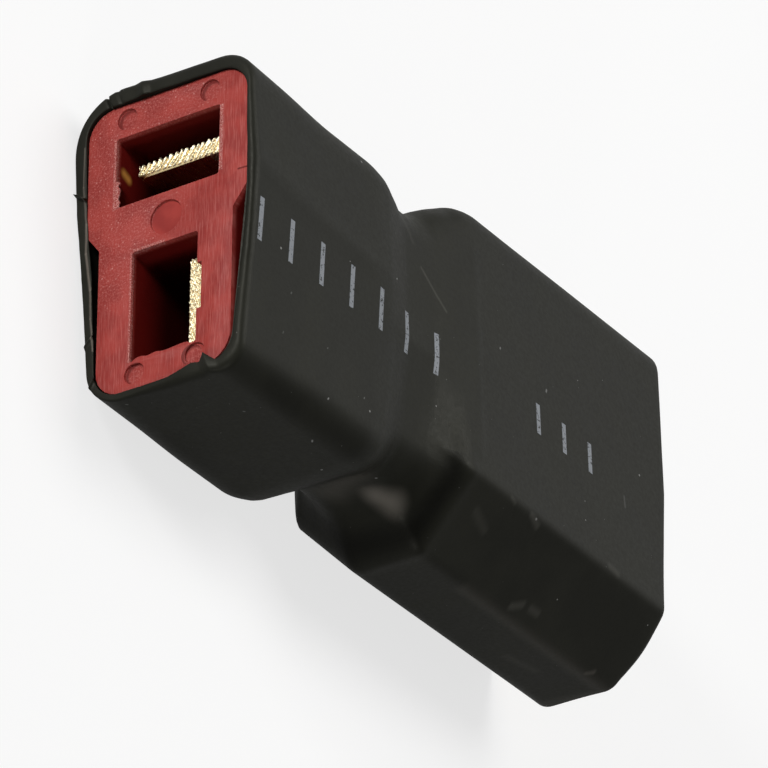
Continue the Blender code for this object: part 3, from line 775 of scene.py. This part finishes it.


# Specks, scratches and smears seen in the photograph, with painted highlights and painted shade among them:
# the two ends on a side, half width, tone and strength.
# The +Z side takes (x, y), the -Y side (x, z) and the cut at the mouth (y, z).
sleeveMarks = {
    "+Z": [
        ((11.4, 1.67), (11.45, 1.72), 0.06, "dust", 1.0),
        ((6.38, -6.35), (6.42, -6.3), 0.06, "dust", 1.0),
        ((3.26, -2.76), (3.3, -2.7), 0.06, "dust", 0.3),
        ((6.11, -4.09), (6.15, -4.05), 0.05, "dust", 0.3),
        ((2.88, -4.78), (2.92, -4.7), 0.06, "dust", 0.2),
        ((9.09, -5.13), (9.12, -5.08), 0.05, "dust", 0.45),
        ((19.65, 1.97), (19.68, 2.02), 0.08, "dust", 0.6),
        ((23.54, 1.58), (23.58, 1.68), 0.09, "dust", 0.6),
        ((30.13, -1.3), (30.1, -0.8), 0.12, "dust", 0.14),
        ((13.75, 3.4), (15.5, 1.97), 0.12, "smearAndHighlight", 0.7),
        ((12.4, 5.6), (13.2, 4.4), 0.2, "smearAndHighlight", 0.35),
        ((21.9, -5.3), (22.6, -5.5), 0.25, "smearAndHighlight", 0.6),
        ((28.5, -5.0), (29.2, -5.1), 0.3, "smearAndHighlight", 0.5),
        ((20.2, -5.2), (20.5, -5.3), 0.2, "smearAndHighlight", 0.4),
    ],
    "-Y": [
        ((3.59, 1.33), (3.64, 1.36), 0.06, "dust", 0.35),
        ((7.28, 2.4), (7.4, 2.32), 0.06, "dust", 0.9),
        ((13.3, 1.81), (13.33, 1.84), 0.06, "dust", 0.8),
        ((12.42, -0.12), (12.46, -0.1), 0.06, "dust", 0.3),
        ((0.45, -2.5), (0.5, -2.45), 0.06, "dust", 0.35),
        ((15.2, -3.25), (15.3, -3.15), 0.12, "pink", 0.9),
        ((16.35, 3.9), (16.1, -1.8), 0.9, "shade", 0.85),  # the hollow before the plug
        # painted highlights: on the neck over the lower solder cup, along the plug's lower edge, and lighter
        # paint over the neck's shaded side behind the socket
        ((14.45, 1.15), (14.9, 1.5), 1.05, "paintedHighlightAndSpeck", 0.95),
        ((21.0, 1.4), (33.3, 1.4), 0.6, "paintedHighlightAndSpeck", 0.13),
        ((12.6, 1.0), (13.6, -0.6), 1.3, "paintedHighlightAndSpeck", 0.25),
        # painted highlight along the far rim's lower edge, in the smears' tone
        ((32.6, -1.2), (32.9, 0.7), 0.6, "smearAndHighlight", 0.45),
        # a pale speck in the highlights' tone
        ((31.1, 1.6), (31.4, 1.8), 0.2, "paintedHighlightAndSpeck", 0.28),
        ((24.1, 1.95), (24.7, 2.2), 0.26, "smearAndHighlight", 0.6),
        ((25.3, 2.25), (25.9, 2.25), 0.24, "smearAndHighlight", 0.5),
        ((18.6, 3.6), (19.8, 3.3), 0.3, "smearAndHighlight", 0.3),
        ((27.6, -0.4), (29.5, -0.1), 0.4, "smearAndHighlight", 0.25),
    ],
    "mouth": [  # painted highlight along the inner edge of the left lip
        ((5.4, -3.98), (3.5, -4.09), 0.06, "lipEdgeHighlight", 0.55),
        ((3.5, -4.09), (1.7, -4.03), 0.08, "lipEdgeHighlight", 0.5),
        ((1.7, -4.03), (0.3, -4.1), 0.09, "lipEdgeHighlight", 0.75),
        ((0.3, -4.1), (-1.5, -3.94), 0.1, "lipEdgeHighlight", 0.8),
        ((-1.5, -3.94), (-2.9, -3.94), 0.08, "lipEdgeHighlight", 0.7),
        ((-2.9, -3.94), (-4.5, -3.83), 0.07, "lipEdgeHighlight", 0.75),
    ],
}


def sleeveMaterial(groups):
    material, tree, shader = newMaterial("sleeveBlack", 0.5, specular=0.14)
    shader.inputs["Specular Tint"].default_value = (*sleeveLook["sheen"], 1.0)
    spot = axisPlace(tree)
    x, y, z = parts(tree, spot)
    grain = grainAt(tree, groups, spot, *sleeveLook["grain"])
    colour = mixColour(tree, grain["Mottle"], sleeveLook["black"], sleeveLook["worn"])
    for scale, size, share, strength in sleeveLook["specks"]:
        specks = specksAt(tree, groups, spot, scale, size, share)
        colour = mixColour(tree, times(tree, specks, strength), colour, sleeveLook["dust"])
    sides = {  # the axes of each side's marks, and a mask of the side
        "+Z": ((0, 1), maths(tree, "GREATER_THAN", z, 2.8)),
        "-Y": ((0, 2), maths(tree, "LESS_THAN", y, -4.6)),
        "mouth": ((1, 2), maths(tree, "LESS_THAN", x, 0.1)),
    }
    for side, marks in sleeveMarks.items():
        axes, facing = sides[side]
        for first, last, width, tone, strength in marks:
            mask = times(tree, streakAt(tree, groups, spot, axes, first, last, width), facing, strength)
            colour = mixColour(tree, mask, colour, sleeveLook[tone])
    rows = [useGroup(tree, groups["bars"], {"Place": spot, **row})["Mask"] for row in sleeveLook["ticks"]]
    worn = smoothStep(tree, noise(tree, spot, 7.0, 3.0, 0.7), 0.34, 0.46)
    ink = times(tree, largest(tree, *rows), sides["+Z"][1], worn, sleeveLook["inkShare"])
    colour = mixColour(tree, ink, colour, sleeveLook["ink"])
    linkFinish(tree, shader, colour, grain["Height"], sleeveLook["roughness"])
    lines = noise(tree, vectorMaths(tree, "MULTIPLY", spot, (0.12, 6.0, 6.0)), 1.0, 2.0, 0.5)
    bump(tree, shader, maths(tree, "ADD", grain["Height"], times(tree, lines, 0.35)), 0.35, 0.02)
    return material


socketLook = {
    "red": (0.37, 0.045, 0.036),
    "dark": (0.28, 0.03, 0.025),
    "pale": (0.5, 0.14, 0.12),
    "fleck": (0.75, 0.4, 0.36),
    # painted shade in the slots: dark red, then nearly black
    "slotShadeRed": (0.105, 0.0045, 0.0035),
    "inside": (0.017, 0.001, 0.0008),
    "glint": (0.62, 0.3, 0.06),
    # the cut's dark red, also painted shade in the ejector marks' crescents
    "score": (0.12, 0.008, 0.006),
    "roughness": (0.42, 0.62),
    "grain": (9.0, 0.8, 0.25),
    "flecks": (6.0, 0.19, 0.5),
    "slotShadeFrom": (0.1, 0.42),  # depth over which painted shade turns the sides of the slots dark red
    "slotBlackShadeFrom": (0.6, 3.0),  # and then nearly black
    "glintAt": ((0.62, 4.02), (0.95, 3.9), 0.36),  # gold mirrored in the upper slot's side: (x, y) and width
    "scoreAt": ((1.9, 3.62), (1.87, 4.2), 0.07),  # a cut at the face's edge: (y, z) and width
    "disc": (0.8, 0.0, 0.79),  # smooth spot of the face: its y, z and radius
    "burrs": [  # middle and half size of the frayed strips at the slots' edges
        ((0.0, 3.75, 2.71), (0.14, 1.55, 0.05)),
        ((0.0, 3.7, -2.68), (0.14, 1.68, 0.02)),
        ((0.0, 2.65, -2.52), (0.14, 0.62, 0.07)),
        ((0.0, -0.34, -0.85), (0.14, 0.03, 0.75)),
        ((0.0, -3.0, -1.72), (0.14, 2.6, 0.012)),
    ],
    "ejectors": [(6.2, 2.1, 0.5), (6.2, -2.1, 0.5), (-6.23, 1.43, 0.5), (-6.23, -1.43, 0.5)],
    "crescent": (-0.09, 0.1),  # the shaded crescent lies away from this side of an ejector mark
}


# Coordinates of the socket before it leans
def straightPlace(tree, spot):
    x, y, z = parts(tree, spot)
    shift = times(tree, maths(tree, "SUBTRACT", y, lean["about"]), lean["rate"])
    joined = addNode(tree, "ShaderNodeCombineXYZ", {0: x, 1: y, 2: maths(tree, "SUBTRACT", z, shift)})
    return joined.outputs[0]


# 1 inside a round spot of the socket's face, fading to 0 over a soft border
def roundSpot(tree, groups, spot, y, z, radius, soft):
    width = 2.0
    mask = streakAt(tree, groups, spot, (1, 2), (y, z), (y + 0.001, z), width)
    shares = (radius / width, (radius - soft) / width)
    return smoothStep(tree, mask, *[1 - share * share * (3 - 2 * share) for share in shares])


def socketMaterial(groups):
    material, tree, shader = newMaterial("socketRed", 0.5, specular=0.2)
    spot = straightPlace(tree, axisPlace(tree))
    x, y, z = parts(tree, spot)
    grain = grainAt(tree, groups, spot, *socketLook["grain"])
    sand = noise(tree, spot, 11.0, 3.0, 0.75)
    streaks = noise(tree, vectorMaths(tree, "MULTIPLY", spot, (1.2, 0.9, 17.0)), 1.0, 3.0, 0.65)
    frayed = noise(tree, spot, 16.0, 2.0, 0.7)
    # combed towards the +Z side and at the foot, sandy elsewhere
    towards = maths(tree, "SUBTRACT", z, times(tree, y, 0.35))
    foot = smoothStep(tree, y, -3.6, -1.6, (1.0, 0.0))
    brushed = largest(tree, smoothStep(tree, towards, -1.5, 2.0), foot)
    disc = roundSpot(tree, groups, spot, *socketLook["disc"], 0.03)
    combed = times(tree, maths(tree, "SUBTRACT", 1.0, disc), smoothStep(tree, brushed, 0.0, 1.0, (0.2, 1.0)))
    rough = maths(tree, "SUBTRACT", 1.0, largest(tree, brushed, disc))
    crescentShades = []
    for height, side, radius in socketLook["ejectors"]:
        whole = roundSpot(tree, groups, spot, height, side, radius, 0.04)
        up, across = socketLook["crescent"]
        shifted = roundSpot(tree, groups, spot, height + up, side + across, radius, 0.16)
        rough = largest(tree, rough, whole)
        crescentShades.append(maths(tree, "SUBTRACT", whole, shifted, clamp=True))
    strips = []
    for middle, half in socketLook["burrs"]:
        values = {"Place": spot, "Middle": middle, "Half": half, "Soft": 0.08}
        strips.append(useGroup(tree, groups["box"], values)["Mask"])
    burr = largest(tree, *strips)
    score = streakAt(tree, groups, spot, (1, 2), *socketLook["scoreAt"])
    glint = streakAt(tree, groups, spot, (0, 1), *socketLook["glintAt"])
    layers = [
        (times(tree, smoothStep(tree, streaks, 0.42, 0.7, (0.0, 0.5)), combed), "pale"),
        (times(tree, smoothStep(tree, sand, 0.46, 0.66, (0.0, 0.72)), rough), "pale"),
        (times(tree, specksAt(tree, groups, spot, *socketLook["flecks"]), rough, 0.35), "fleck"),
        (times(tree, burr, smoothStep(tree, frayed, 0.45, 0.62), 0.75), "fleck"),
        # the cut at the face's edge, and painted shade on one side of each ejector mark
        (largest(tree, score, times(tree, largest(tree, *crescentShades), 0.8)), "score"),
        # painted shade in the slots, growing with depth
        (smoothStep(tree, x, *socketLook["slotShadeFrom"], (0.0, 0.97)), "slotShadeRed"),
        (smoothStep(tree, x, *socketLook["slotBlackShadeFrom"], (0.0, 0.97)), "inside"),
        (times(tree, glint, smoothStep(tree, z, -2.5, -2.3, (0.8, 0.0))), "glint"),
    ]
    colour = mixColour(tree, grain["Mottle"], socketLook["dark"], socketLook["red"])
    for share, tone in layers:
        colour = mixColour(tree, share, colour, socketLook[tone])
    linkFinish(tree, shader, colour, grain["Height"], socketLook["roughness"])
    gloss = smoothStep(tree, x, *socketLook["slotShadeFrom"], (0.2, 0.03))
    tree.links.new(gloss, shader.inputs["Specular IOR Level"])
    relief = maths(tree, "ADD", times(tree, sand, rough), times(tree, streaks, 0.7, combed))
    relief = maths(tree, "ADD", relief, times(tree, burr, frayed, 2.5))
    bump(tree, shader, maths(tree, "SUBTRACT", relief, score), 0.6, 0.035)
    return material


plugLook = {
    "tones": ((0.78, 0.5, 0.035), (0.86, 0.58, 0.06)),
    "roughness": (0.3, 0.48),
    "grain": (7.0, 0.5, 0.4),
}


def plugMaterial(groups):
    material, tree, shader = newMaterial("plugYellow", 0.38, specular=0.5)
    grain = grainAt(tree, groups, axisPlace(tree), *plugLook["grain"])
    colour = mixColour(tree, grain["Mottle"], *plugLook["tones"])
    linkFinish(tree, shader, colour, grain["Height"], plugLook["roughness"])
    bump(tree, shader, grain["Height"], 0.3, 0.02)
    return material


# Plated and bare metals: colour and stain, roughness, and the marks' rate along x, y and z and their relief
metals = {
    "bladeGold": ((0.95, 0.78, 0.44), (0.88, 0.66, 0.3), (0.22, 0.38), (1.5, 14.0, 14.0), 0.3),
    "pinGold": ((0.93, 0.72, 0.36), (0.84, 0.6, 0.26), (0.18, 0.34), (14.0, 1.5, 1.5), 0.25),
    "springSteel": ((0.56, 0.56, 0.55), (0.42, 0.41, 0.4), (0.25, 0.4), (2.0, 2.0, 12.0), 0.25),
    "solderGrey": ((0.62, 0.63, 0.64), (0.5, 0.5, 0.5), (0.3, 0.5), (2.0, 2.0, 2.0), 0.4),
}


def metalMaterial(groups, name):
    base, stain, roughness, rates, relief = metals[name]
    material, tree, shader = newMaterial(name, roughness[0], metallic=1.0)
    spot = axisPlace(tree)
    grain = grainAt(tree, groups, spot, 8.0, 0.7, 0.3)
    marks = noise(tree, vectorMaths(tree, "MULTIPLY", spot, rates), 1.0, 3.0, 0.6)
    colour = mixColour(tree, smoothStep(tree, grain["Mottle"], 0.3, 1.0, (0.0, 0.6)), base, stain)
    linkFinish(tree, shader, colour, marks, roughness)
    bump(tree, shader, maths(tree, "ADD", marks, times(tree, grain["Height"], 0.5)), relief, 0.015)
    return material


# Sheared gold: cream on the high strokes, then painted shade that darkens it to brown lower down and nearly
# black in the pits
frontLook = {
    "cream": (1.0, 0.92, 0.66),
    "brown": (0.58, 0.38, 0.14),
    "pit": (0.07, 0.028, 0.008),
    "roughness": (0.42, 0.6),
}


def shearedMaterial():
    material, tree, shader = newMaterial("bladeFrontGold", 0.5, metallic=1.0)
    pit = addNode(tree, "ShaderNodeAttribute", attribute_name="pit").outputs["Fac"]
    fine = noise(tree, axisPlace(tree), 20.0, 2.0, 0.6)
    depth = maths(tree, "ADD", pit, times(tree, maths(tree, "SUBTRACT", fine, 0.5), 1.2))
    colour = mixColour(tree, smoothStep(tree, depth, -0.1, 0.6), frontLook["cream"], frontLook["brown"])
    colour = mixColour(tree, smoothStep(tree, depth, 0.35, 0.95), colour, frontLook["pit"])
    linkFinish(tree, shader, colour, fine, frontLook["roughness"])
    bump(tree, shader, fine, 0.3, 0.01)
    return material


# 1 for what the camera sees itself, and a share of it for what shows in metal, glass and gloss
def seenDirectly(tree, share):
    rays = addNode(tree, "ShaderNodeLightPath").outputs
    mirrored = largest(tree, rays["Is Glossy Ray"], rays["Is Transmission Ray"])
    return largest(tree, rays["Is Camera Ray"], times(tree, mirrored, share))


# How much of the room shows in gloss: less towards its dark side
def roomShare(tree):
    towards = addNode(tree, "ShaderNodeTexCoord").outputs["Generated"]
    dark = Vector(studio["darkSide"]).normalized()
    facing = vectorMaths(tree, "DOT_PRODUCT", towards, dark, output="Value")
    return smoothStep(tree, facing, *studio["darkRange"], (studio["mirrorShare"], 0.0))


def floorMaterial():
    material, tree, shader = newMaterial("paleFloor", 0.85, specular=0.1)
    shade = noise(tree, objectPlace(tree), 25.0, 2.0)
    tree.links.new(mixColour(tree, shade, *studio["floorTones"]), shader.inputs["Base Color"])
    plain = shader.outputs[0]
    white = {"Color": (1.0, 1.0, 1.0, 1.0), "Strength": studio["floorGlow"]}
    glow = addNode(tree, "ShaderNodeEmission", white).outputs[0]
    both = addNode(tree, "ShaderNodeAddShader", {0: plain, 1: glow}).outputs[0]
    seen = seenDirectly(tree, studio["floorShare"])
    mix = addNode(tree, "ShaderNodeMixShader", {0: seen, 1: plain, 2: both})
    tree.links.new(mix.outputs[0], tree.nodes["Material Output"].inputs["Surface"])
    return material


# Studio

studio = {
    "middle": (17.0, 0.0, 0.0),  # what the lamps look at
    "ambient": 0.12,
    "mirrorShare": 0.5,
    "floorShare": 0.34,
    "darkSide": (-0.5, -0.7, 0.45),  # where the room shows dark in gloss
    "darkRange": (-0.5, 0.75),  # cosine of the angle to it, where the dark starts and where it is full
    "floorGlow": 0.72,
    "floorSize": 4.0,
    "floorTones": ((0.31, 0.31, 0.308), (0.33, 0.33, 0.328)),
    "lamps": {  # direction towards the lamp, its strength as a share of full white, its size in metres
        "top": {"towards": (0.2, 0.35, 1.0), "share": 0.5, "size": 0.25, "distance": 0.4},
        "mouth": {"towards": (-1.0, 0.32, 0.19), "share": 0.74, "size": 0.12, "distance": 0.4},
        "rim": {"towards": (0.85, 0.4, 0.45), "share": 0.036, "size": 0.15, "distance": 0.16},
        "under": {"towards": (-0.28, -1.0, 0.12), "share": 0.17, "size": 0.05, "distance": 0.4},
    },
}

camera = {
    "lens": 378.74,
    "from": (-247.176, -171.559, 160.433),
    "towards": (16.7, 0.2, 0.32),
    "roll": -71.68,  # degrees about the line of sight
}


def makeStudio():
    size = studio["floorSize"]
    corners = np.array([(-1, -1, 0), (1, -1, 0), (1, 1, 0), (-1, 1, 0)]) * size / 2
    mesh = bpy.data.meshes.new("floor")
    mesh.from_pydata(corners, [], [(0, 1, 2, 3)])
    mesh.materials.append(floorMaterial())
    floor = bpy.data.objects.new("floor", mesh)
    bpy.context.scene.collection.objects.link(floor)
    middle = Vector(place(studio["middle"]))
    for name, lamp in studio["lamps"].items():
        light = bpy.data.lights.new(name, "AREA")
        light.shape = "DISK"
        light.size = lamp["size"]
        # a share of 1 lights a white face that looks at the lamp to full white
        light.energy = lamp["share"] * (math.pi * lamp["distance"]) ** 2
        holder = bpy.data.objects.new(name, light)
        towards = Vector(lamp["towards"]).normalized()
        holder.location = middle + towards * lamp["distance"]
        holder.rotation_euler = towards.to_track_quat("Z", "Y").to_euler()
        bpy.context.scene.collection.objects.link(holder)
    world = bpy.data.worlds.new("studioWorld")
    bpy.context.scene.world = world
    world.use_nodes = True
    tree = world.node_tree
    ground = tree.nodes["Background"]
    tone = mixColour(tree, seenDirectly(tree, roomShare(tree)), (studio["ambient"],) * 3, (1.0, 1.0, 1.0))
    tree.links.new(tone, ground.inputs["Color"])
    ground.inputs["Strength"].default_value = 1.0
    bpy.context.scene.view_settings.view_transform = "Standard"


def makeCamera():
    data = bpy.data.cameras.new("camera")
    data.lens = camera["lens"]
    data.sensor_width = 36.0
    data.clip_start = 0.01
    data.clip_end = 20.0
    holder = bpy.data.objects.new("camera", data)
    start = Vector(place(camera["from"]))
    forward = (Vector(place(camera["towards"])) - start).normalized()
    facing = forward.to_track_quat("-Z", "Y").to_matrix().to_4x4()
    roll = Matrix.Rotation(math.radians(camera["roll"]), 4, forward)
    holder.matrix_world = Matrix.Translation(start) @ roll @ facing
    bpy.context.scene.collection.objects.link(holder)
    bpy.context.scene.camera = holder


def main():
    groups = {"grain": grainGroup(), "specks": speckGroup(), "bars": barRowGroup()}
    groups |= {"streak": streakGroup(), "box": boxGroup()}
    makeSleeve(sleeveMaterial(groups))
    print("sleeve made")
    red = socketMaterial(groups)
    dressedCopy("socket_housing", "socketHousing", 0.04, red)
    for name, values in flash.items():
        makeFlash(name, values, red)
    dressedCopy("plug_housing", "plugHousing", 0.06, plugMaterial(groups))
    print("housings dressed")
    metal = {name: metalMaterial(groups, name) for name in metals}
    front = shearedMaterial()
    for side in ("upper", "lower"):
        dressedCopy(side + "_contact", side + "Blade", 0.04, metal["bladeGold"])
        makeShearedEdge(side, front)
        dressedCopy(side + "_spring", side + "Spring", 0.02, metal["springSteel"])
        dressedCopy(side + "_pin", side + "Pin", 0.03, metal["pinGold"])
        dressedCopy(side + "_solder_joint", side + "Solder", 0.03, metal["solderGrey"])
    print("contacts, springs, pins and solder dressed")
    makeStudio()
    makeCamera()
    print("studio set")


main()
